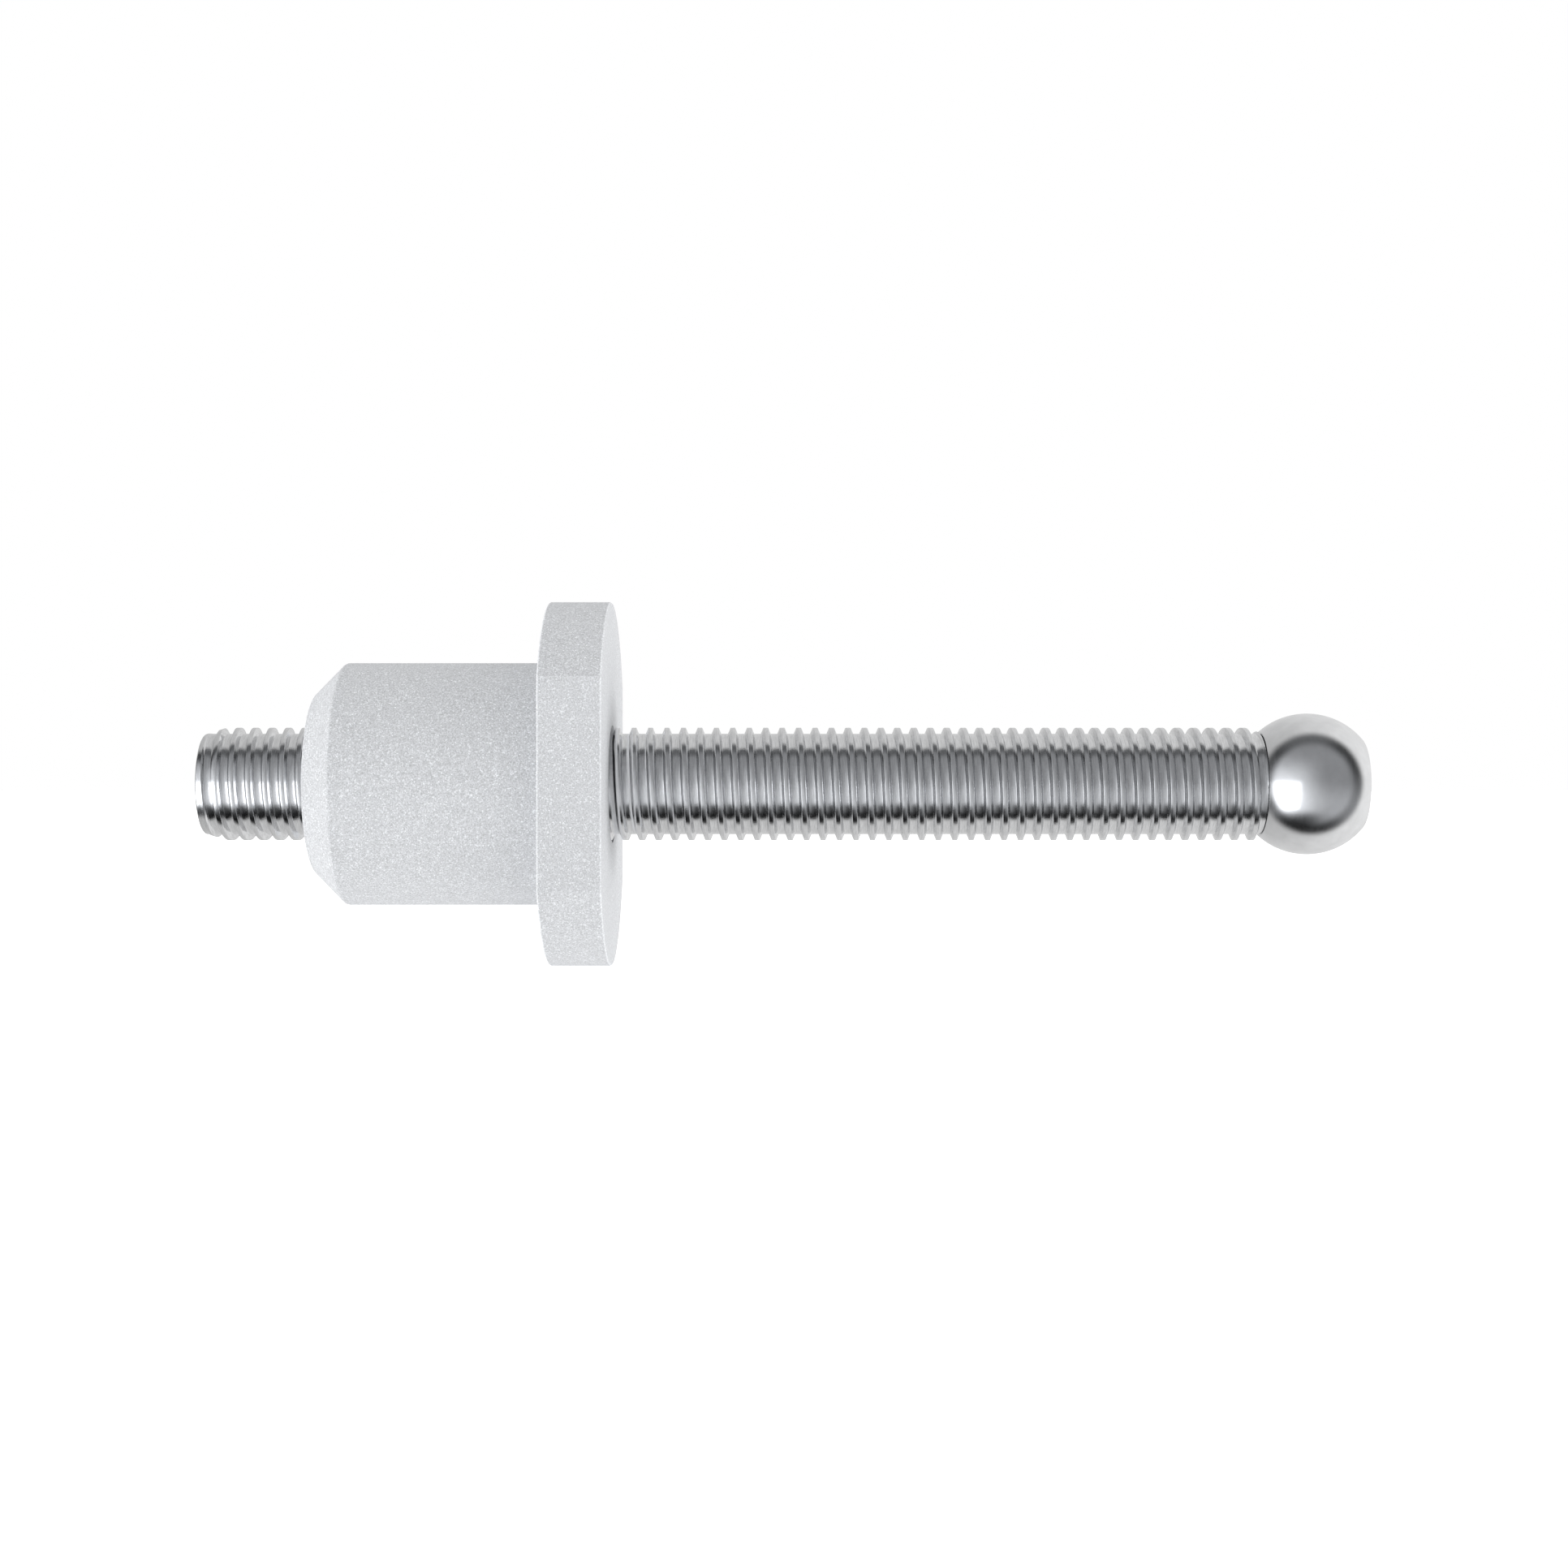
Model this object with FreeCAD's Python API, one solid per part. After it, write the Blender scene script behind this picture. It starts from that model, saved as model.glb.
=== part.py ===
import FreeCAD, Part
import math
import os

# Ball-ended adjusting spindle in a flanged bush.
#
# The spindle's axis is X. The bush's plug points along -X, its two wrench flats face
# -Y and +Y, and the ball is at the +X end. The origin lies on the axis, in the plane
# of the flange's seat, where the rim of a tube rests. All sizes are in millimetres.

# bush: a plain plug that goes into a tube, and a flange that stops on its rim
plug_diameter = 25.7
plug_length = 24.8
plug_lead_in = 3.3
plug_corner_radius = 0.5
flange_diameter = 38.6
flange_thickness = 6.5
flange_edge_radius = 0.2
across_flats = 32.0
bore_mouth_diameter = 12.5

# spindle: one long right-hand thread, chamfered at both ends, with a plain journal
spindle_thread = {
    "diameter": 12.0,
    "pitch": 1.75,
    "depth": 0.65,
    "crest": 0.48,
    "root": 0.73,
}
spindle_clearance = 0.12
stub_length = 11.9
thread_length = 112.0
free_end_chamfer_length = 2.2
ball_end_chamfer = 0.65
journal_diameter = 6.0
journal_edge_chamfer = 0.2

# ball: bored through, flat where it meets the thread and flat at its outer end
ball_diameter = 15.0
ball_inner_flat = 5.0
ball_outer_flat = 5.85
ball_flat_edge_radius = 0.5
ball_play = 0.05
ball_bore_diameter = 6.1
ball_counterbore_diameter = 7.6
ball_counterbore_depth = 2.95

# low-head socket screw that holds the ball on its journal
screw_thread = {
    "diameter": 4.0,
    "pitch": 0.7,
    "depth": 0.38,
    "crest": 0.12,
    "root": 0.2,
}
screw_clearance = 0.05
screw_length = 10.0
screw_head_diameter = 7.0
screw_head_height = 2.8
screw_head_round = 0.3
screw_socket_width = 2.5
screw_socket_depth = 1.6
screw_end_chamfer = 0.4
tapped_hole_spare_depth = 1.5
drill_point_angle = 118.0

# places along X that several pieces share
plug_tip = -plug_length
flange_face = flange_thickness
free_end = plug_tip - stub_length
rod_end = free_end + thread_length
ball_centre = rod_end + ball_play + ball_inner_flat
counterbore_floor = ball_centre + ball_outer_flat - ball_counterbore_depth
journal_end = counterbore_floor + ball_play

spare = 1.0  # how far a cutting solid runs past the surface that it cuts
spare_turns = 2  # how many turns a cutting coil runs past each end of its thread


def point(radius, along):
    """A point of a turned outline: its distance from the axis, and its place along it."""
    return FreeCAD.Vector(radius, 0, along)


def turn(edges):
    """The solid that an outline of edges makes when it goes once round the axis."""
    outline = Part.Face(Part.Wire(Part.__sortEdges__(edges)))
    return outline.revolve(FreeCAD.Vector(0, 0, 0), FreeCAD.Vector(0, 0, 1), 360)


def turned(corners):
    """A turned solid with straight edges through (radius, along) corners."""
    return turn(Part.makePolygon([point(*c) for c in corners + corners[:1]]).Edges)


def round_bar(radius, start, end):
    return turned([(0, start), (radius, start), (radius, end), (0, end)])


def rounded_corner(before, corner, after, radius):
    """An arc that eases a turned outline's corner, with its two ends."""
    corner_point = point(*corner)
    back = (point(*before) - corner_point).normalize()
    ahead = (point(*after) - corner_point).normalize()
    half_angle = back.getAngle(ahead) / 2
    middle_way = (back + ahead).normalize()
    centre = corner_point + middle_way * (radius / math.sin(half_angle))
    tangent_length = radius / math.tan(half_angle)
    start = corner_point + back * tangent_length
    end = corner_point + ahead * tangent_length
    return start, Part.Arc(start, centre - middle_way * radius, end).toShape(), end


def turned_with_rounds(corners):
    """A turned solid through (radius, along, corner radius) corners."""
    count = len(corners)
    edges, ends = [], []
    for i, (radius, along, easing) in enumerate(corners):
        if easing:
            before = corners[i - 1][:2]
            after = corners[(i + 1) % count][:2]
            start, arc, end = rounded_corner(before, (radius, along), after, easing)
            edges.append(arc)
        else:
            start = end = point(radius, along)
        ends.append((start, end))
    for i in range(count):
        edges.append(Part.makeLine(ends[i][1], ends[(i + 1) % count][0]))
    return turn(edges)


def coil(section, pitch, start, end):
    """A closed right-hand coil: a section swept round the axis from start to beyond end.

    One turn is swept and then repeated, and the repeats are sewn into one solid.
    """
    turns = math.ceil((end - start) / pitch)
    helix = Part.makeHelix(pitch, pitch, max(radius for radius, along in section))
    corners = [point(radius, along) for radius, along in section]
    outline = Part.makePolygon(corners + corners[:1])
    sweep = Part.BRepOffsetAPI.MakePipeShell(Part.Wire(helix.Edges))
    sweep.setBiNormalMode(FreeCAD.Vector(0, 0, 1))
    sweep.add(outline, False, False)
    sweep.build()
    one_turn = sweep.shape()
    cap = Part.Face(outline)
    faces = [cap, cap.translated(FreeCAD.Vector(0, 0, turns * pitch))]
    for number in range(turns):
        faces += one_turn.translated(FreeCAD.Vector(0, 0, number * pitch)).Faces
    shell = Part.makeShell(faces)
    shell.sewShape()
    solid = Part.makeSolid(shell)
    if solid.Volume < 0:
        solid.reverse()
    solid.translate(FreeCAD.Vector(0, 0, start))
    return solid


def on_lead(thread, phase, start):
    """The last place before start where a thread, in step with phase, starts a turn."""
    pitch = thread["pitch"]
    return phase + pitch * math.floor((start - phase) / pitch)


def outer_groove(thread, phase, start, end):
    """What is cut from a rod to leave an outside thread. The groove is centred on phase."""
    crest_radius = thread["diameter"] / 2
    root_radius = crest_radius - thread["depth"]
    half_root = thread["root"] / 2
    half_mouth = (thread["pitch"] - thread["crest"]) / 2
    slope = (half_mouth - half_root) / thread["depth"]
    half_outer = half_mouth + thread["crest"] / 4
    outer_radius = crest_radius + thread["crest"] / 4 / slope
    section = [
        (root_radius, -half_root),
        (outer_radius, -half_outer),
        (outer_radius, half_outer),
        (root_radius, half_root),
    ]
    margin = thread["pitch"] * spare_turns
    return coil(section, thread["pitch"], on_lead(thread, phase, start - margin), end + margin)


def inner_groove(thread, clearance, phase, start, end):
    """What is cut from a bore to let a rod's ridge through, eased by the clearance."""
    crest_radius = thread["diameter"] / 2
    root_radius = crest_radius - thread["depth"]
    half_crest = thread["crest"] / 2
    half_root = (thread["pitch"] - thread["root"]) / 2
    slope = (half_root - half_crest) / thread["depth"]
    widening = clearance * math.hypot(1, slope)
    half_floor = half_crest + widening - slope * clearance
    half_mouth = half_root + widening
    section = [
        (crest_radius + clearance, -half_floor),
        (root_radius, -half_mouth),
        (root_radius, half_mouth),
        (crest_radius + clearance, half_floor),
    ]
    margin = thread["pitch"] * spare_turns
    ridge = phase + thread["pitch"] / 2
    return coil(section, thread["pitch"], on_lead(thread, ridge, start - margin), end + margin)


def tapped_core_radius(thread, clearance):
    """The radius of the hole that an inside thread is cut in."""
    return thread["diameter"] / 2 - thread["depth"] + clearance


def hexagon(across, start, end):
    """A hexagonal bar on the axis, such as a socket for a hexagon key."""
    corner_radius = across / math.sqrt(3)
    angles = [math.radians(60 * side) for side in range(7)]
    corners = [
        FreeCAD.Vector(corner_radius * math.cos(a), corner_radius * math.sin(a), start)
        for a in angles
    ]
    return Part.Face(Part.makePolygon(corners)).extrude(FreeCAD.Vector(0, 0, end - start))


def countersink(radius, mouth, direction):
    """What sinks a bore's mouth at 45 degrees. Direction is +1 or -1, out of the bore."""
    outside = mouth + direction * spare
    return turned([(0, mouth - direction * radius), (radius + spare, outside), (0, outside)])


def flanged_bush():
    plug_radius = plug_diameter / 2
    flange_radius = flange_diameter / 2
    tip_radius = plug_radius - plug_lead_in
    body = turned_with_rounds([
        (0, plug_tip, 0),
        (tip_radius, plug_tip, plug_corner_radius),
        (plug_radius, plug_tip + plug_lead_in, plug_corner_radius),
        (plug_radius, 0, 0),
        (flange_radius, 0, flange_edge_radius),
        (flange_radius, flange_face, flange_edge_radius),
        (0, flange_face, 0),
    ])
    for side in (-1, 1):
        waste = Part.makeBox(flange_diameter, flange_radius, flange_thickness)
        near_edge = across_flats / 2 if side > 0 else -across_flats / 2 - flange_radius
        waste.translate(FreeCAD.Vector(-flange_radius, near_edge, 0))
        body = body.cut(waste)
    core_radius = tapped_core_radius(spindle_thread, spindle_clearance)
    body = body.cut(round_bar(core_radius, plug_tip - spare, flange_face + spare))
    groove = inner_groove(
        spindle_thread, spindle_clearance, free_end, plug_tip, flange_face
    )
    body = body.cut(groove)
    body = body.cut(countersink(bore_mouth_diameter / 2, plug_tip, -1))
    return body.cut(countersink(bore_mouth_diameter / 2, flange_face, 1))


def threaded_spindle():
    crest_radius = spindle_thread["diameter"] / 2
    root_radius = crest_radius - spindle_thread["depth"]
    journal_radius = journal_diameter / 2
    blank = turned([
        (0, free_end),
        (root_radius, free_end),
        (crest_radius, free_end + free_end_chamfer_length),
        (crest_radius, rod_end - ball_end_chamfer),
        (crest_radius - ball_end_chamfer, rod_end),
        (journal_radius, rod_end),
        (journal_radius, journal_end - journal_edge_chamfer),
        (journal_radius - journal_edge_chamfer, journal_end),
        (0, journal_end),
    ])
    rod = blank.cut(outer_groove(spindle_thread, free_end, free_end, rod_end))
    hole_floor = journal_end - screw_length - tapped_hole_spare_depth
    core_radius = tapped_core_radius(screw_thread, screw_clearance)
    rod = rod.cut(round_bar(core_radius, hole_floor, journal_end + spare))
    point_slope = math.radians(90 - drill_point_angle / 2)
    drill_point = turned([
        (0, hole_floor - core_radius * math.tan(point_slope)),
        (core_radius, hole_floor),
        (0, hole_floor),
    ])
    rod = rod.cut(drill_point)
    groove_end = journal_end - screw_length - screw_thread["pitch"]
    tap = inner_groove(
        screw_thread, screw_clearance, journal_end, groove_end, journal_end
    )
    below_floor = round_bar(crest_radius, groove_end - screw_length, groove_end)
    return rod.cut(tap.cut(below_floor))


def ball_head():
    radius = ball_diameter / 2
    inner = ball_centre - ball_inner_flat
    outer = ball_centre + ball_outer_flat
    inner_radius = math.sqrt(radius**2 - ball_inner_flat**2)
    bore_radius = ball_bore_diameter / 2
    counterbore_radius = ball_counterbore_diameter / 2
    # the outer flat's edge is an arc that touches both the flat and the ball's surface
    edge_radius = ball_flat_edge_radius
    edge_rise = ball_outer_flat - edge_radius
    flat_radius = math.sqrt((radius - edge_radius) ** 2 - edge_rise**2)
    touch_angle = math.atan2(edge_rise, flat_radius)
    middle_angle = (touch_angle + math.pi / 2) / 2
    touch = point(radius * math.cos(touch_angle), ball_centre + radius * math.sin(touch_angle))
    edge_middle = point(
        flat_radius + edge_radius * math.cos(middle_angle),
        ball_centre + edge_rise + edge_radius * math.sin(middle_angle),
    )
    corners = [
        (flat_radius, outer),
        (counterbore_radius, outer),
        (counterbore_radius, counterbore_floor),
        (bore_radius, counterbore_floor),
        (bore_radius, inner),
        (inner_radius, inner),
    ]
    edges = Part.makePolygon([point(*c) for c in corners]).Edges
    rim = Part.Arc(point(inner_radius, inner), point(radius, ball_centre), touch)
    edge = Part.Arc(touch, edge_middle, point(flat_radius, outer))
    return turn(edges + [rim.toShape(), edge.toShape()])


def ball_screw():
    head_radius = screw_head_diameter / 2
    shank_radius = screw_thread["diameter"] / 2
    shank_end = journal_end - screw_length
    head_top = journal_end + screw_head_height
    blank = turned_with_rounds([
        (0, shank_end, 0),
        (shank_radius - screw_end_chamfer, shank_end, 0),
        (shank_radius, shank_end + screw_end_chamfer, 0),
        (shank_radius, journal_end, 0),
        (head_radius, journal_end, 0),
        (head_radius, head_top, screw_head_round),
        (0, head_top, 0),
    ])
    groove = outer_groove(screw_thread, journal_end, shank_end, journal_end)
    above_shank = round_bar(head_radius, journal_end, head_top + screw_length)
    screw = blank.cut(groove.cut(above_shank))
    return screw.cut(hexagon(screw_socket_width, head_top - screw_socket_depth, head_top + spare))


def along_x(shape):
    """Lays a piece that was turned about Z down along X."""
    laid = shape.copy()
    laid.rotate(FreeCAD.Vector(0, 0, 0), FreeCAD.Vector(0, 1, 0), 90)
    return laid


pieces = {
    "flanged_bush": flanged_bush,
    "threaded_spindle": threaded_spindle,
    "ball_head": ball_head,
    "ball_screw": ball_screw,
}

os.makedirs("parts", exist_ok=True)
for name, make in pieces.items():
    piece = along_x(make())
    solids = piece.Solids
    if len(solids) != 1 or not solids[0].isValid():
        raise ValueError(f"{name} is {len(solids)} solids, or isn't sound")
    solids[0].exportStep(os.path.join("parts", f"{name}.step"))
    print(f"{name}: {solids[0].Volume:.1f} mm3, {len(solids[0].Faces)} faces")
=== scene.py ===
import math

import bmesh
import bpy
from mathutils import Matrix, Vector


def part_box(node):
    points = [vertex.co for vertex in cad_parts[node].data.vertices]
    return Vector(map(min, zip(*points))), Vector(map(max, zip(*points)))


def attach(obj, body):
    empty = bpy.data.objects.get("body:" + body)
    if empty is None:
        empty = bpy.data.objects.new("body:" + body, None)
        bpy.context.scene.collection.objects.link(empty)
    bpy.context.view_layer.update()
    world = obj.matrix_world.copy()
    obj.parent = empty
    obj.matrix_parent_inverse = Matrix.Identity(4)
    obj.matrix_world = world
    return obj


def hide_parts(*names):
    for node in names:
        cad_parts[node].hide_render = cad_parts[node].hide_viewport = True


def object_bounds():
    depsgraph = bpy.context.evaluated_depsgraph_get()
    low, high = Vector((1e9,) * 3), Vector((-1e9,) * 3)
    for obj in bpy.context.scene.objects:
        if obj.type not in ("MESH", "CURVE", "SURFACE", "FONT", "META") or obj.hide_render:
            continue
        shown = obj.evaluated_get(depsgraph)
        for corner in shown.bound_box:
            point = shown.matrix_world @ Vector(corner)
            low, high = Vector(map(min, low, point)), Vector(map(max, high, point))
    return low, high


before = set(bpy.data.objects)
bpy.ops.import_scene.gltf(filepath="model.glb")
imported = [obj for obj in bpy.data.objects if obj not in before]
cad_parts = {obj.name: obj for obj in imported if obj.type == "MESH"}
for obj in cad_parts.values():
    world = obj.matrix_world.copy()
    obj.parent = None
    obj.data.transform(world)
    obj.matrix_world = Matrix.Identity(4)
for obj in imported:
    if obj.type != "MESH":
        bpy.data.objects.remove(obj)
cadLow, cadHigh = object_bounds()
mm = 0.001
fullTurn = 2 * math.pi
sharpAngle = math.radians(40)  # edges steeper than this stay crisp
weldReach = 0.0003 * mm  # points closer than this become one
sliverReach = 0.0001 * mm
runOutSlope = 2  # how fast a thread fades out, rise over length
print("frame loaded:", ", ".join(sorted(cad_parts)))


# mesh tools: an outline is a list of (along, radius), a ring is its points round the axis

def easeCorner(before, corner, after, easing, steps):
    here = Vector(corner)
    back = (Vector(before) - here).normalized()
    ahead = (Vector(after) - here).normalized()
    half = back.angle(ahead) / 2
    centre = here + (back + ahead).normalized() * (easing / math.sin(half))
    start = here + back * (easing / math.tan(half)) - centre
    end = here + ahead * (easing / math.tan(half)) - centre
    return [tuple(centre + easing * start.slerp(end, step / steps)) for step in range(steps + 1)]


def easeOutline(corners, steps=4):
    outline = []  # corners are (along, radius) or (along, radius, easing)
    for i, corner in enumerate(corners):
        if len(corner) == 3:
            before, after = corners[i - 1][:2], corners[i + 1][:2]
            outline += easeCorner(before, corner[:2], after, corner[2], steps)
        else:
            outline.append(corner)
    return outline


def evenAngles(count):
    return [fullTurn * i / count for i in range(count)]


def roundRing(along, radius, angles):
    if radius == 0:
        return [(along, 0, 0)]
    return [(along, radius * math.cos(a), radius * math.sin(a)) for a in angles]


def layRings(mesh, rings):
    made = [[mesh.verts.new(point) for point in ring] for ring in rings]
    for near, far in zip(made, made[1:]):
        for i in range(max(len(near), len(far))):
            corners = (
                near[i % len(near)],
                near[(i + 1) % len(near)],
                far[(i + 1) % len(far)],
                far[i % len(far)],
            )
            mesh.faces.new(dict.fromkeys(corners))  # three corners where a ring is one point


def layTurned(mesh, outline, angles):
    layRings(mesh, [roundRing(along, radius, angles) for along, radius in outline])


def threadProfile(thread, clearance=0.0):
    # one pitch, from the middle of the rod's groove; a clearance makes it the nut's
    pitch, depth = thread["pitch"], thread["depth"]
    rootRadius = thread["diameter"] / 2 - depth + clearance
    crestRadius = rootRadius + depth
    slope = (pitch - thread["crest"] - thread["root"]) / 2 / depth
    rootHalf = thread["root"] / 2 - clearance * (math.hypot(1, slope) - slope)
    flankEnd = rootHalf + depth * slope
    corners = [
        (rootHalf, rootRadius, thread["rootEasing"]),
        (flankEnd, crestRadius, thread["crestEasing"]),
        (pitch - flankEnd, crestRadius, thread["crestEasing"]),
        (pitch - rootHalf, rootRadius, thread["rootEasing"]),
    ]
    before = (corners[-1][0] - pitch, rootRadius)
    after = (corners[0][0] + pitch, rootRadius)
    return easeOutline([before] + corners + [after], steps=2)[1:-1]


def radiusOnThread(profile, pitch, phase, along, angle):
    offset = ((along - phase) / pitch - angle / fullTurn) % 1 * pitch
    first, last = profile[0], profile[-1]
    looped = [(last[0] - pitch, last[1])] + profile + [(first[0] + pitch, first[1])]
    for (nearOffset, nearRadius), (farOffset, farRadius) in zip(looped, looped[1:]):
        if nearOffset <= offset <= farOffset:
            share = (offset - nearOffset) / (farOffset - nearOffset)
            return nearRadius + (farRadius - nearRadius) * share
    return first[1]


def layThread(mesh, profile, pitch, phase, start, end, angles, trim):
    # rows follow the helix; what would run past start or end is laid flat in that plane,
    # so a few turns more than the length needs are laid out at both ends
    firstTurn = math.floor((start - phase) / pitch) - 2
    lastTurn = math.ceil((end - phase) / pitch) + 1
    rows = [
        (phase + turn * pitch + offset, radius)
        for turn in range(firstTurn, lastTurn)
        for offset, radius in profile
    ]
    columns = []
    for angle in angles:
        column = []
        for rowStart, radius in rows:
            along = rowStart + pitch * angle / fullTurn
            kept = min(max(along, start), end)
            if kept != along:
                radius = radiusOnThread(profile, pitch, phase, kept, angle)
            column.append(mesh.verts.new(roundRing(kept, trim(kept, radius), [angle])[0]))
        columns.append(column)
    for i, column in enumerate(columns):
        if i + 1 < len(columns):
            beside = columns[i + 1]
        else:
            beside = columns[0][len(profile):]  # the last column meets the first one a turn on
        for a, b, c, d in zip(column, column[1:], beside[1:], beside):
            mesh.faces.new((a, b, c, d))


def finishPiece(name, mesh, material, body, node):
    bmesh.ops.remove_doubles(mesh, verts=mesh.verts, dist=weldReach)
    bmesh.ops.dissolve_degenerate(mesh, edges=mesh.edges, dist=sliverReach)
    bmesh.ops.recalc_face_normals(mesh, faces=mesh.faces)
    for face in mesh.faces:
        face.smooth = True
    for edge in mesh.edges:
        edge.smooth = edge.calc_face_angle(0) < sharpAngle
    openEdges = sum(not edge.is_manifold for edge in mesh.edges)
    data = bpy.data.meshes.new(name)
    mesh.to_mesh(data)
    mesh.free()
    data.materials.append(material)
    piece = bpy.data.objects.new(name, data)
    bpy.context.scene.collection.objects.link(piece)
    # flats stay flat beside their eased edges
    evenNormals = piece.modifiers.new("evenNormals", "WEIGHTED_NORMAL")
    evenNormals.keep_sharp = True
    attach(piece, body)
    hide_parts(node)
    print(f"{name}: {len(data.polygons)} faces, {openEdges} open edges")


# finishes

def newFinish(name):
    material = bpy.data.materials.new(name)
    material.use_nodes = True
    nodes, links = material.node_tree.nodes, material.node_tree.links
    shader = nodes["Principled BSDF"]
    place = nodes.new("ShaderNodeTexCoord").outputs["Object"]
    return material, nodes, links, shader, place


def addNoise(nodes, links, place, scale, detail=2.0, stretch=(1, 1, 1)):
    mapping = nodes.new("ShaderNodeMapping")
    mapping.inputs["Scale"].default_value = stretch
    noise = nodes.new("ShaderNodeTexNoise")
    noise.inputs["Scale"].default_value = scale
    noise.inputs["Detail"].default_value = detail
    links.new(place, mapping.inputs["Vector"])
    links.new(mapping.outputs["Vector"], noise.inputs["Vector"])
    return noise.outputs["Fac"]


def addRange(nodes, links, value, low, high, fromLow=0.3, fromHigh=0.7):
    spread = nodes.new("ShaderNodeMapRange")
    spread.inputs["From Min"].default_value = fromLow
    spread.inputs["From Max"].default_value = fromHigh
    spread.inputs["To Min"].default_value = low
    spread.inputs["To Max"].default_value = high
    links.new(value, spread.inputs["Value"])
    return spread.outputs["Result"]


def addMath(nodes, links, operation, a, b):
    step = nodes.new("ShaderNodeMath")
    step.operation = operation
    for socket, value in zip(step.inputs, (a, b)):
        if isinstance(value, (int, float)):
            socket.default_value = value
        else:
            links.new(value, socket)
    return step.outputs["Value"]


def addTint(nodes, links, shade, tint):
    colour = nodes.new("ShaderNodeVectorMath")
    colour.operation = "SCALE"
    colour.inputs["Vector"].default_value = tint
    links.new(shade, colour.inputs["Scale"])
    return colour.outputs["Vector"]


def addBump(nodes, links, height, depth, strength, before=None):
    bump = nodes.new("ShaderNodeBump")
    bump.inputs["Strength"].default_value = strength
    bump.inputs["Distance"].default_value = depth
    links.new(height, bump.inputs["Height"])
    if before:
        links.new(before, bump.inputs["Normal"])
    return bump.outputs["Normal"]


# bush: light metal, blasted all over, with a grain that sparkles, a painted highlight on the
# flange's edges and painted shade on its face round the rod
blastedLook = {
    "tint": (0.96, 0.975, 1.0),
    "shade": (0.49, 0.81),
    "grain": 0.13 * mm,
    "coarser": 0.4,  # scale of the coarse grain, as a share of the fine one's
    "coarseSpread": (0.95, 1.04),
    "mottle": 1.1 * mm,
    "mottleSpread": (0.985, 1.01),
    "sparkle": 0.22,
    "sparkleFrom": 0.80,  # only facets above this share sparkle
    "paintedEdgeHighlight": 0.14,  # painted highlight: the light alone leaves the flange's edges too dark, so they are made lighter
    "edgeTurn": (0.10, 0.35, 0.80, 0.97),
    "edgeFrom": -1.0 * mm,
    "paintedShadeByRod": 0.76,  # painted shade: the light alone leaves the face too bright by the rod, so it is made darker there
    "mouthReach": (6.2 * mm, 11.0 * mm),
    "mouthFrom": 6.0 * mm,
    "roughness": (0.62, 0.80),
    "metallic": 0.2,  # low on purpose, as full metal it would mirror the soft box
    "grainDepth": 0.02 * mm,
    "grainBump": 0.5,
    "coarseBump": 0.6,
}


def blastedMetal(look):
    material, nodes, links, shader, place = newFinish("blastedMetal")
    grain = addNoise(nodes, links, place, 1 / look["grain"])
    coarse = addNoise(nodes, links, place, look["coarser"] / look["grain"], detail=1.0)
    mottle = addNoise(nodes, links, place, 1 / look["mottle"], detail=3.0)
    facets = nodes.new("ShaderNodeTexVoronoi")
    facets.inputs["Scale"].default_value = 1 / look["grain"]
    links.new(place, facets.inputs["Vector"])
    split = nodes.new("ShaderNodeSeparateColor")
    links.new(facets.outputs["Color"], split.inputs["Color"])
    sparkleSpan = (look["sparkleFrom"], 1.0)
    sparkle = addRange(nodes, links, split.outputs["Red"], 0.0, look["sparkle"], *sparkleSpan)
    shade = addRange(nodes, links, grain, *look["shade"])
    for noise, spread in ((coarse, look["coarseSpread"]), (mottle, look["mottleSpread"])):
        shade = addMath(nodes, links, "MULTIPLY", shade, addRange(nodes, links, noise, *spread))
    shade = addMath(nodes, links, "ADD", shade, sparkle)
    facing = nodes.new("ShaderNodeSeparateXYZ")
    links.new(place.node.outputs["Normal"], facing.inputs["Vector"])
    turn = addMath(nodes, links, "ABSOLUTE", facing.outputs["X"], 0.0)
    # painted highlight: the flange's eased edges, where the normal is half turned towards X, are
    # made lighter
    low, near, far, high = look["edgeTurn"]
    edge = addMath(
        nodes, links, "MULTIPLY",
        addRange(nodes, links, turn, 0.0, 1.0, low, near),
        addRange(nodes, links, turn, 1.0, 0.0, far, high),
    )
    position = nodes.new("ShaderNodeSeparateXYZ")
    links.new(place, position.inputs["Vector"])
    onFlange = addMath(nodes, links, "GREATER_THAN", position.outputs["X"], look["edgeFrom"])
    edge = addMath(nodes, links, "MULTIPLY", edge, onFlange)
    edge = addMath(nodes, links, "MULTIPLY", edge, look["paintedEdgeHighlight"])
    shade = addMath(nodes, links, "ADD", shade, edge)
    # painted shade: the flange's face is made darker towards the rod
    square = addMath(nodes, links, "MULTIPLY", position.outputs["Y"], position.outputs["Y"])
    otherSquare = addMath(nodes, links, "MULTIPLY", position.outputs["Z"], position.outputs["Z"])
    reach = addMath(nodes, links, "SQRT", addMath(nodes, links, "ADD", square, otherSquare), 0.0)
    byRod = addRange(nodes, links, reach, look["paintedShadeByRod"], 1.0, *look["mouthReach"])
    offFace = addMath(nodes, links, "LESS_THAN", position.outputs["X"], look["mouthFrom"])
    paintedRodShade = addMath(nodes, links, "MAXIMUM", byRod, offFace)
    shade = addMath(nodes, links, "MULTIPLY", shade, paintedRodShade)
    links.new(addTint(nodes, links, shade, look["tint"]), shader.inputs["Base Color"])
    links.new(addRange(nodes, links, grain, *look["roughness"]), shader.inputs["Roughness"])
    fine = addBump(nodes, links, grain, look["grainDepth"], look["grainBump"])
    rough = addBump(nodes, links, coarse, look["grainDepth"], look["coarseBump"], fine)
    links.new(rough, shader.inputs["Normal"])
    shader.inputs["Metallic"].default_value = look["metallic"]
    return material


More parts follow.
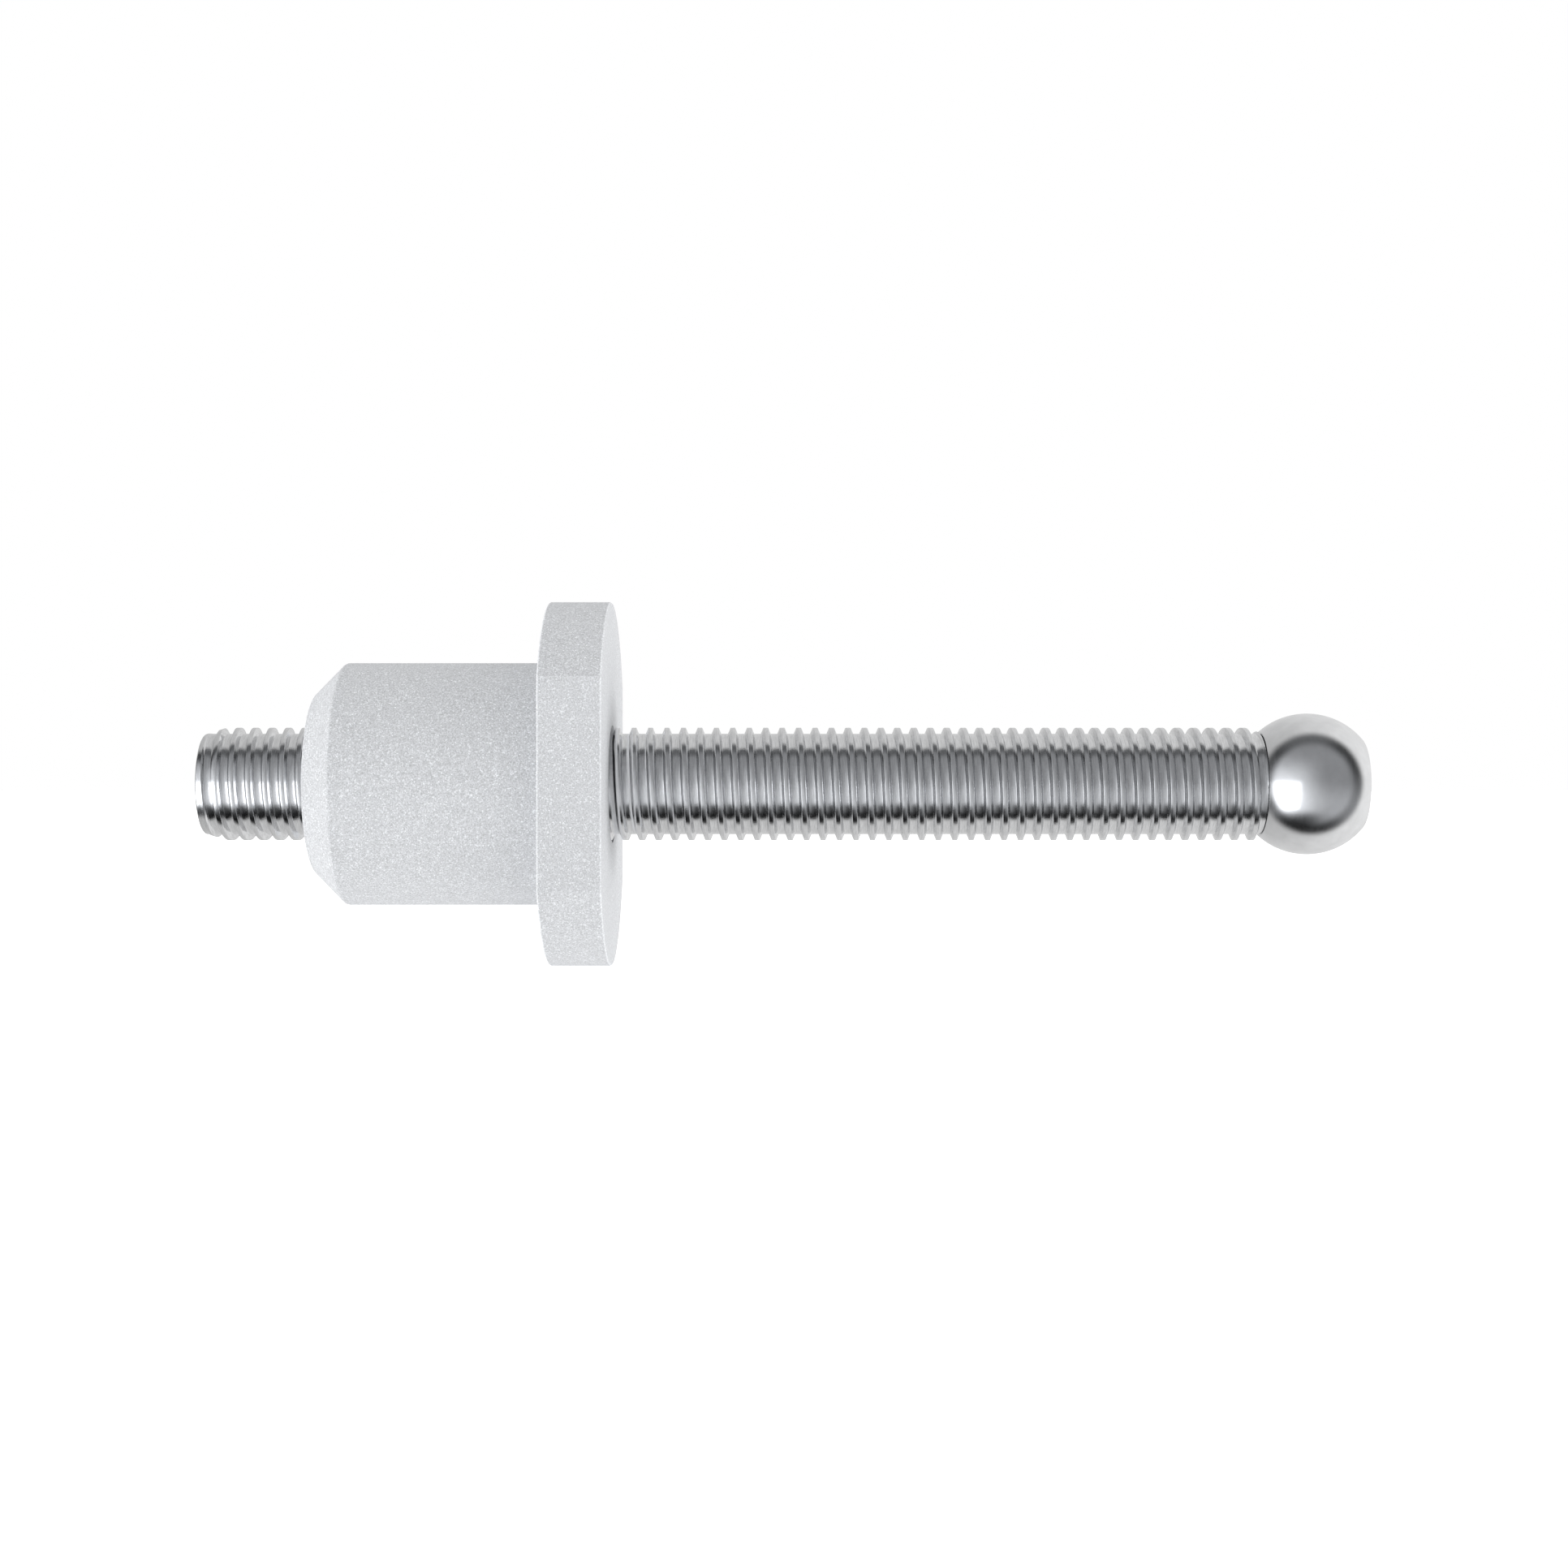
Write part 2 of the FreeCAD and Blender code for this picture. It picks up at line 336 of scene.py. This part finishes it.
# spindle: bright rolled thread, with faint streaks that run round it
threadLook = {
    "tint": (0.985, 0.99, 1.0),
    "shade": (0.66, 0.82),
    "streak": 0.09 * mm,
    "streakLength": 14,
    "speckle": 0.16 * mm,
    "speckleSpread": (0.96, 1.03),
    "roughness": (0.09, 0.19),
    "depth": 0.005 * mm,
    "streakBump": 0.35,
    "speckleBump": 0.8,
}


def brightThread(look):
    material, nodes, links, shader, place = newFinish("brightThread")
    across = (1, 1 / look["streakLength"], 1 / look["streakLength"])
    streaks = addNoise(nodes, links, place, 1 / look["streak"], 2.0, across)
    speckle = addNoise(nodes, links, place, 1 / look["speckle"], detail=3.0)
    shade = addRange(nodes, links, streaks, *look["shade"])
    spread = addRange(nodes, links, speckle, *look["speckleSpread"])
    shade = addMath(nodes, links, "MULTIPLY", shade, spread)
    links.new(addTint(nodes, links, shade, look["tint"]), shader.inputs["Base Color"])
    links.new(addRange(nodes, links, speckle, *look["roughness"]), shader.inputs["Roughness"])
    fine = addBump(nodes, links, streaks, look["depth"], look["streakBump"])
    rough = addBump(nodes, links, speckle, look["depth"], look["speckleBump"], fine)
    links.new(rough, shader.inputs["Normal"])
    shader.inputs["Metallic"].default_value = 1.0
    return material


# ball: polished all over, with a trace of lapping marks
ballLook = {
    "tint": (0.985, 0.99, 1.0),
    "shade": (0.76, 0.84),
    "cloud": 1.6 * mm,
    "lapping": 0.05 * mm,
    "lappingLength": 20,
    "roughness": (0.14, 0.20),
    "depth": 0.001 * mm,
    "bump": 0.25,
}


def polishedSteel(look):
    material, nodes, links, shader, place = newFinish("polishedSteel")
    across = (1, 1 / look["lappingLength"], 1 / look["lappingLength"])
    lapping = addNoise(nodes, links, place, 1 / look["lapping"], 2.0, across)
    cloud = addNoise(nodes, links, place, 1 / look["cloud"], detail=4.0)
    shade = addRange(nodes, links, cloud, *look["shade"])
    links.new(addTint(nodes, links, shade, look["tint"]), shader.inputs["Base Color"])
    links.new(addRange(nodes, links, lapping, *look["roughness"]), shader.inputs["Roughness"])
    links.new(addBump(nodes, links, lapping, look["depth"], look["bump"]), shader.inputs["Normal"])
    shader.inputs["Metallic"].default_value = 1.0
    return material


# screw: plain turned steel, a little duller than the ball
screwLook = {
    "tint": (0.98, 0.985, 1.0),
    "shade": (0.46, 0.62),
    "cloud": 0.5 * mm,
    "finer": 6,  # tool marks to one cloud
    "roughness": (0.22, 0.36),
    "depth": 0.006 * mm,
    "bump": 0.3,
}


def turnedSteel(look):
    material, nodes, links, shader, place = newFinish("turnedSteel")
    cloud = addNoise(nodes, links, place, 1 / look["cloud"], detail=4.0)
    fine = addNoise(nodes, links, place, look["finer"] / look["cloud"])
    shade = addRange(nodes, links, cloud, *look["shade"])
    links.new(addTint(nodes, links, shade, look["tint"]), shader.inputs["Base Color"])
    links.new(addRange(nodes, links, fine, *look["roughness"]), shader.inputs["Roughness"])
    links.new(addBump(nodes, links, fine, look["depth"], look["bump"]), shader.inputs["Normal"])
    shader.inputs["Metallic"].default_value = 1.0
    return material


# spindle
spindleLow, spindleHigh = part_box("threaded_spindle")
ballLow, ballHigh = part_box("ball_head")
ballPlay = 0.05 * mm
spindle = {
    "thread": {
        "diameter": 2 * spindleHigh.z,
        "pitch": 1.75 * mm,
        "depth": 0.65 * mm,
        "crest": 0.48 * mm,
        "root": 0.73 * mm,
        "crestEasing": 0.035 * mm,
        "rootEasing": 0.04 * mm,
    },
    "freeEnd": spindleLow.x,
    "rodEnd": ballLow.x - ballPlay,
    "journalEnd": spindleHigh.x,
    "freeChamfer": 2.2 * mm,
    "freeEdge": 0.15 * mm,
    "ballChamfer": 0.65 * mm,
    "journalRadius": 3.0 * mm,
    "journalEdge": 0.2 * mm,
    "steps": 96,
}
# at +Y the groove's middle is a quarter turn past where it is at the underside
spindle["phase"] = spindle["freeEnd"] + spindle["thread"]["pitch"] / 4

# small screw that holds the ball on
screwLow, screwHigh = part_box("ball_screw")
screw = {
    "thread": {
        "diameter": 4.0 * mm,
        "pitch": 0.7 * mm,
        "depth": 0.38 * mm,
        "crest": 0.12 * mm,
        "root": 0.2 * mm,
        "crestEasing": 0.02 * mm,
        "rootEasing": 0.02 * mm,
    },
    "clearance": 0.05 * mm,
    "shankEnd": screwLow.x,
    "seat": spindle["journalEnd"],
    "top": screwHigh.x,
    "headRadius": screwHigh.z,
    "headEdge": 0.3 * mm,
    "seatEdge": 0.1 * mm,
    "socketWidth": 2.5 * mm,
    "socketMouth": 1.6 * mm,
    "socketDepth": 1.6 * mm,
    "socketTip": 0.5 * mm,
    "steps": 72,
}
screw["phase"] = screw["seat"] + screw["thread"]["pitch"] / 4
screwHole = {
    "mouthRadius": 2.15 * mm,
    "threadEnd": screw["shankEnd"] - screw["thread"]["pitch"],
    "floor": screw["shankEnd"] - 1.5 * mm,
    "tip": 1.0 * mm,
}


def makeSpindle(part, hole, material):
    mesh = bmesh.new()
    thread = part["thread"]
    crestRadius = thread["diameter"] / 2
    rootRadius = crestRadius - thread["depth"]
    threadStart = part["freeEnd"] + part["freeEdge"]
    freeSlope = thread["depth"] / (part["freeChamfer"] - part["freeEdge"])

    def chamferEnds(along, radius):
        atFreeEnd = rootRadius + (along - threadStart) * freeSlope
        atBallEnd = rootRadius + (part["rodEnd"] - along) * thread["depth"] / part["ballChamfer"]
        return min(radius, atFreeEnd, atBallEnd)

    angles = evenAngles(part["steps"])
    profile = threadProfile(thread)
    span = (threadStart, part["rodEnd"])
    layThread(mesh, profile, thread["pitch"], part["phase"], *span, angles, chamferEnds)
    freeFace = easeOutline([
        (part["freeEnd"], 0),
        (part["freeEnd"], rootRadius, part["freeEdge"]),
        (threadStart, rootRadius),
    ])
    layTurned(mesh, freeFace, angles)

    journal = part["journalRadius"]
    layTurned(mesh, [
        (part["rodEnd"], rootRadius),
        (part["rodEnd"], journal),
        (part["journalEnd"] - part["journalEdge"], journal),
        (part["journalEnd"], journal - part["journalEdge"]),
        (part["journalEnd"], hole["mouthRadius"]),
    ], angles)

    tapped = screw["thread"]
    coreRadius = tapped["diameter"] / 2 - tapped["depth"] + screw["clearance"]

    def openMouth(along, radius):
        atMouth = hole["mouthRadius"] - (part["journalEnd"] - along)
        runOut = coreRadius + runOutSlope * (along - hole["threadEnd"])
        return max(min(radius, runOut), atMouth)

    tapProfile = threadProfile(tapped, screw["clearance"])
    span = (hole["threadEnd"], part["journalEnd"])
    layThread(mesh, tapProfile, tapped["pitch"], screw["phase"], *span, angles, openMouth)
    layTurned(mesh, [
        (hole["threadEnd"], coreRadius),
        (hole["floor"], coreRadius),
        (hole["floor"] - hole["tip"], 0),
    ], angles)
    finishPiece("spindleRod", mesh, material, "spindle", "threaded_spindle")


def makeScrew(part, material):
    mesh = bmesh.new()
    thread = part["thread"]
    angles = evenAngles(part["steps"])
    crestRadius = thread["diameter"] / 2
    rootRadius = crestRadius - thread["depth"]

    def neckAndPoint(along, radius):
        atPoint = rootRadius + along - part["shankEnd"]
        atNeck = crestRadius - runOutSlope * (part["seat"] - along)
        return max(min(radius, atPoint), atNeck)

    profile = threadProfile(thread)
    span = (part["shankEnd"], part["seat"])
    layThread(mesh, profile, thread["pitch"], part["phase"], *span, angles, neckAndPoint)
    layTurned(mesh, [(part["shankEnd"], 0), (part["shankEnd"], rootRadius)], angles)
    head = easeOutline([
        (part["seat"], crestRadius),
        (part["seat"], part["headRadius"], part["seatEdge"]),
        (part["top"], part["headRadius"], part["headEdge"]),
        (part["top"], part["socketMouth"]),
    ])
    layTurned(mesh, head, angles)

    # the socket's mouth is sunk, so its six walls meet the cone in scallops
    sixth = fullTurn / 6
    walls = [part["socketWidth"] / 2 / math.cos(a % sixth - sixth / 2) for a in angles]
    rings = [roundRing(part["top"], part["socketMouth"], angles)]
    for share in (0, 1):
        ring = []
        for angle, wall in zip(angles, walls):
            sunk = part["socketMouth"] - wall
            along = part["top"] - (sunk if share == 0 else part["socketDepth"])
            ring += roundRing(along, wall, [angle])
        rings.append(ring)
    rings.append([(part["top"] - part["socketDepth"] - part["socketTip"], 0, 0)])
    layRings(mesh, rings)
    finishPiece("ballScrew", mesh, material, "spindle", "ball_screw")


# ball
ball = {
    "radius": ballHigh.z,
    "innerFlat": ballLow.x,
    "outerFlat": ballHigh.x,
    "innerRise": 5.0 * mm,
    "flatEdge": 0.5 * mm,
    "boreRadius": 3.05 * mm,
    "sinkRadius": 3.8 * mm,
    "sinkDepth": 2.95 * mm,
    "smallEdge": 0.12 * mm,
    "steps": 160,
    "arcSteps": 56,
    "edgeSteps": 6,
}


def makeBall(part, material):
    mesh = bmesh.new()
    angles = evenAngles(part["steps"])
    centre = part["innerFlat"] + part["innerRise"]
    edge, small = part["flatEdge"], part["smallEdge"]
    edgeRise = part["outerFlat"] - centre - edge
    flatRadius = math.sqrt((part["radius"] - edge) ** 2 - edgeRise**2)
    firstAngle = -math.asin(part["innerRise"] / part["radius"])
    touchAngle = math.atan2(edgeRise, flatRadius)

    def arc(middleAlong, middleRadius, radius, start, end, steps):
        points = []
        for step in range(steps + 1):
            angle = start + (end - start) * step / steps
            along = middleAlong + radius * math.sin(angle)
            points.append((along, middleRadius + radius * math.cos(angle)))
        return points

    skin = arc(centre, 0, part["radius"], firstAngle, touchAngle, part["arcSteps"])
    turn = (touchAngle, fullTurn / 4)
    edgeArc = arc(centre + edgeRise, flatRadius, edge, *turn, part["edgeSteps"])
    sinkFloor = part["outerFlat"] - part["sinkDepth"]
    inside = easeOutline([
        (part["outerFlat"], flatRadius),
        (part["outerFlat"], part["sinkRadius"], small),
        (sinkFloor, part["sinkRadius"]),
        (sinkFloor, part["boreRadius"], small),
        (part["innerFlat"], part["boreRadius"], small),
        skin[0],
    ])
    layTurned(mesh, skin + edgeArc[1:] + inside[1:], angles)
    finishPiece("ballHead", mesh, material, "ball", "ball_head")


# bush
bushLow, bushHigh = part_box("flanged_bush")
bush = {
    "tip": bushLow.x,
    "face": bushHigh.x,
    "seat": 0.0,
    "plugRadius": 12.85 * mm,
    "leadIn": 3.3 * mm,
    "leadEdge": 0.5 * mm,
    "rootEdge": 0.15 * mm,
    "flangeRadius": bushHigh.z,
    "flatHalf": bushHigh.y,
    "flangeEdge": 0.2 * mm,
    "mouthRadius": 6.25 * mm,
    "clearance": 0.12 * mm,
    "innerRing": 4,  # each flange face turns round this many edge widths inside the flats
    "easeSteps": 6,
    "flatSteps": 12,
    "edgeSteps": 4,
    "roundSteps": 22,
}


def flangeRing(part, along, inset):
    # a quarter of the outline, from the flat's middle to the top, then its mirror images
    edge = part["flangeEdge"]
    cornerY = part["flatHalf"] - edge
    cornerZ = math.sqrt((part["flangeRadius"] - edge) ** 2 - cornerY**2)
    cornerAngle = math.atan2(cornerZ, cornerY)
    quarter = [
        (part["flatHalf"] - inset, cornerZ * step / part["flatSteps"])
        for step in range(part["flatSteps"] + 1)
    ]
    for step in range(1, part["edgeSteps"] + 1):
        angle = cornerAngle * step / part["edgeSteps"]
        reach = edge - inset
        quarter.append((cornerY + reach * math.cos(angle), cornerZ + reach * math.sin(angle)))
    for step in range(1, part["roundSteps"] + 1):
        angle = cornerAngle + (fullTurn / 4 - cornerAngle) * step / part["roundSteps"]
        reach = part["flangeRadius"] - inset
        quarter.append((reach * math.cos(angle), reach * math.sin(angle)))
    back = quarter[::-1]
    outline = quarter[:-1] + [(-y, z) for y, z in back[:-1]]
    outline += [(-y, -z) for y, z in quarter[:-1]] + [(y, -z) for y, z in back[:-1]]
    return [(along, y, z) for y, z in outline]


def makeBush(part, thread, phase, material):
    mesh = bmesh.new()
    rim = flangeRing(part, part["seat"], 0)
    angles = [math.atan2(z, y) % fullTurn for along, y, z in rim]
    edge = part["flangeEdge"]
    innerRadius = part["flatHalf"] - part["innerRing"] * edge
    plugSide = easeOutline([
        (part["tip"], part["mouthRadius"]),
        (part["tip"], part["plugRadius"] - part["leadIn"], part["leadEdge"]),
        (part["tip"] + part["leadIn"], part["plugRadius"], part["leadEdge"]),
        (part["seat"], part["plugRadius"], part["rootEdge"]),
        (part["seat"], innerRadius),
    ], part["easeSteps"])
    rings = [roundRing(along, radius, angles) for along, radius in plugSide]
    steps = part["edgeSteps"]
    bends = []
    for step in range(steps + 1):
        turn = fullTurn / 4 * step / steps
        bends.append((edge * (1 - math.cos(turn)), edge * (1 - math.sin(turn))))
    rings += [flangeRing(part, part["seat"] + rise, inset) for rise, inset in bends]
    rings += [flangeRing(part, part["face"] - drop, inset) for inset, drop in bends]
    rings.append(roundRing(part["face"], innerRadius, angles))
    rings.append(roundRing(part["face"], part["mouthRadius"], angles))
    layRings(mesh, rings)

    def openMouths(along, radius):
        atTip = part["mouthRadius"] - (along - part["tip"])
        atFace = part["mouthRadius"] - (part["face"] - along)
        return max(radius, atTip, atFace)

    profile = threadProfile(thread, part["clearance"])
    layThread(mesh, profile, thread["pitch"], phase, part["tip"], part["face"], angles, openMouths)
    finishPiece("bushBody", mesh, material, "bush", "flanged_bush")


makeBush(bush, spindle["thread"], spindle["phase"], blastedMetal(blastedLook))
makeSpindle(spindle, screwHole, brightThread(threadLook))
makeBall(ball, polishedSteel(ballLook))
makeScrew(screw, turnedSteel(screwLook))
print("pieces made")


# floor, light and camera
floorLook = {
    "height": cadLow.z,
    "reach": 6.0,
    "shade": 0.86,
    "cloudDip": 0.99,
    "cloudScale": 3.0,
    "roughness": 0.9,
    "lift": 0.55,  # light of its own, which keeps it as pale as the backdrop
    "steps": 96,
}


def makeFloor(look):
    mesh = bmesh.new()
    reach, height = look["reach"], look["height"]
    angles = evenAngles(look["steps"])
    rim = [(reach * math.cos(a), reach * math.sin(a), height) for a in angles]
    layRings(mesh, [rim, [(0, 0, height)]])
    data = bpy.data.meshes.new("paleFloor")
    mesh.to_mesh(data)
    mesh.free()
    material, nodes, links, shader, place = newFinish("paleFloor")
    cloud = addNoise(nodes, links, place, look["cloudScale"])
    shade = addRange(nodes, links, cloud, look["shade"] * look["cloudDip"], look["shade"])
    links.new(addTint(nodes, links, shade, (1, 1, 1)), shader.inputs["Base Color"])
    shader.inputs["Roughness"].default_value = look["roughness"]
    shader.inputs["Specular IOR Level"].default_value = 0.0
    shader.inputs["Emission Color"].default_value = (1, 1, 1, 1)
    shader.inputs["Emission Strength"].default_value = look["lift"]
    data.materials.append(material)
    floor = bpy.data.objects.new("paleFloor", data)
    bpy.context.scene.collection.objects.link(floor)
    floor.visible_glossy = False  # the steel mirrors the studio, not the floor
    floor.visible_diffuse = False  # nor does the floor light the bush
    floor.visible_shadow = False  # or keep the fill off its underside


# the studio: a pale cove behind, a grey room in front with a dark seam where they meet,
# and a soft box low on the left with its halo. That is what the steel mirrors. Matt surfaces
# are lit by the fill instead, and the camera sees the plain backdrop.
studio = {
    "cove": 0.71,
    "coveRight": 0.26,  # the cove is brighter towards +X
    "coveEdge": (-0.14, 0.12),
    "room": 0.30,
    "roomTint": (0.955, 0.975, 1.01),
    "roomEdge": (-0.50, -0.24),
    "lowGlow": 0.19,  # light thrown up by the bench
    "lowUp": (-0.92, -0.62, -0.45, 0.10),
    "seam": 0.14,
    "seamTop": 0.30,  # the seam is less dark overhead and low on the right
    "seamTopUp": (0.70, 0.97),
    "seamRight": 0.40,
    "seamRightAlong": (0.35, 0.85),
    "seamRightUp": (0.45, -0.25),
    "pit": 0.82,  # the room is nearly black below, but for the right
    "pitUp": (-0.66, -0.86),
    "pitAlong": (0.45, -0.15),
    "boxAcross": (0.29, 0.40, 0.90, 1.0),  # fades in, full, full, fades out, towards -X
    "boxUp": (-0.71, -0.60, -0.02, 0.12),
    "boxGlow": 1.4,
    "haloAcross": (-0.40, 0.80, 0.90, 1.0),  # in the box's order
    "haloUp": (-0.92, -0.60, -0.10, 0.90),
    "haloGlow": 0.80,
    "fill": 0.40,
    "fillLeft": 1.90,  # added towards either end
    "fillRight": 1.60,
    "fillDown": 0.20,
    "backdrop": 1.0,
}


def makeStudio(look):
    world = bpy.data.worlds.new("studio")
    bpy.context.scene.world = world
    world.use_nodes = True
    nodes, links = world.node_tree.nodes, world.node_tree.links
    shader = nodes["Background"]

    def times(a, b):
        return addMath(nodes, links, "MULTIPLY", a, b)

    def plus(a, b):
        return addMath(nodes, links, "ADD", a, b)

    def fade(value, edges):  # nothing at the first edge, one at the second
        low, high = min(edges), max(edges)
        ends = (0.0, 1.0) if edges[0] < edges[1] else (1.0, 0.0)
        spread = addRange(nodes, links, value, *ends, low, high)
        spread.node.interpolation_type = "SMOOTHSTEP"
        return spread

    def band(value, edges):  # one inside the two middle edges, nothing past the outer two
        return times(fade(value, edges[:2]), fade(value, edges[:1:-1]))

    def lessen(share, amount):
        return addMath(nodes, links, "SUBTRACT", 1.0, times(share, amount))

    split = nodes.new("ShaderNodeSeparateXYZ")
    links.new(nodes.new("ShaderNodeTexCoord").outputs["Generated"], split.inputs["Vector"])
    along, depth, up = split.outputs
    leftward = times(along, -1.0)

    cove = plus(look["cove"], times(along, look["coveRight"]))
    cove = times(cove, fade(depth, look["coveEdge"]))
    halo = times(band(leftward, look["haloAcross"]), band(up, look["haloUp"]))
    box = times(band(leftward, look["boxAcross"]), band(up, look["boxUp"]))
    room = plus(look["room"], times(band(up, look["lowUp"]), look["lowGlow"]))
    room = plus(room, times(halo, look["haloGlow"]))
    pit = times(fade(up, look["pitUp"]), fade(along, look["pitAlong"]))
    room = times(room, lessen(pit, look["pit"]))
    box = times(box, lessen(fade(depth, look["roomEdge"]), 1.0))
    room = plus(room, times(box, look["boxGlow"]))
    lowRight = times(fade(along, look["seamRightAlong"]), fade(up, look["seamRightUp"]))
    overhead = fade(up, look["seamTopUp"])
    seam = plus(times(lowRight, look["seamRight"]), times(overhead, look["seamTop"]))
    darkness = addMath(nodes, links, "SUBTRACT", 1 - look["seam"], seam)
    room = times(room, lessen(fade(depth, look["roomEdge"]), darkness))
    room = times(room, lessen(fade(depth, look["coveEdge"]), 1.0))
    mirrored = nodes.new("ShaderNodeVectorMath")
    mirrored.operation = "ADD"
    links.new(addTint(nodes, links, cove, (1, 1, 1)), mirrored.inputs[0])
    links.new(addTint(nodes, links, room, look["roomTint"]), mirrored.inputs[1])

    sides = plus(
        times(addMath(nodes, links, "MAXIMUM", leftward, 0.0), look["fillLeft"]),
        times(addMath(nodes, links, "MAXIMUM", along, 0.0), look["fillRight"]),
    )
    fill = plus(plus(look["fill"], sides), times(up, -look["fillDown"]))
    backdrop = nodes.new("ShaderNodeValue").outputs["Value"]
    backdrop.default_value = look["backdrop"]

    path = nodes.new("ShaderNodeLightPath")
    lit = mirrored.outputs["Vector"]
    for ray, seen in (("Is Diffuse Ray", fill), ("Is Camera Ray", backdrop)):
        mix = nodes.new("ShaderNodeMix")
        mix.data_type = "VECTOR"
        links.new(path.outputs[ray], mix.inputs["Factor"])
        links.new(lit, mix.inputs["A"])
        links.new(seen, mix.inputs["B"])
        lit = mix.outputs["Result"]
    links.new(lit, shader.inputs["Color"])


camera = {
    "distance": 254.0 * mm,
    "lens": 54.76,
    "sensor": 36.0,
    "clipStart": 0.01,
    "clipEnd": 20.0,
}


def makeCamera(look):
    data = bpy.data.cameras.new("camera")
    data.lens = look["lens"]
    data.sensor_width = look["sensor"]
    data.clip_start = look["clipStart"]
    data.clip_end = look["clipEnd"]
    seen = bpy.data.objects.new("camera", data)
    seen.location = ((cadLow.x + cadHigh.x) / 2, -look["distance"], 0)
    seen.rotation_euler = (fullTurn / 4, 0, 0)
    bpy.context.scene.collection.objects.link(seen)
    bpy.context.scene.camera = seen


makeFloor(floorLook)
makeStudio(studio)
makeCamera(camera)
bpy.context.scene.view_settings.view_transform = "Standard"
print("stage set")
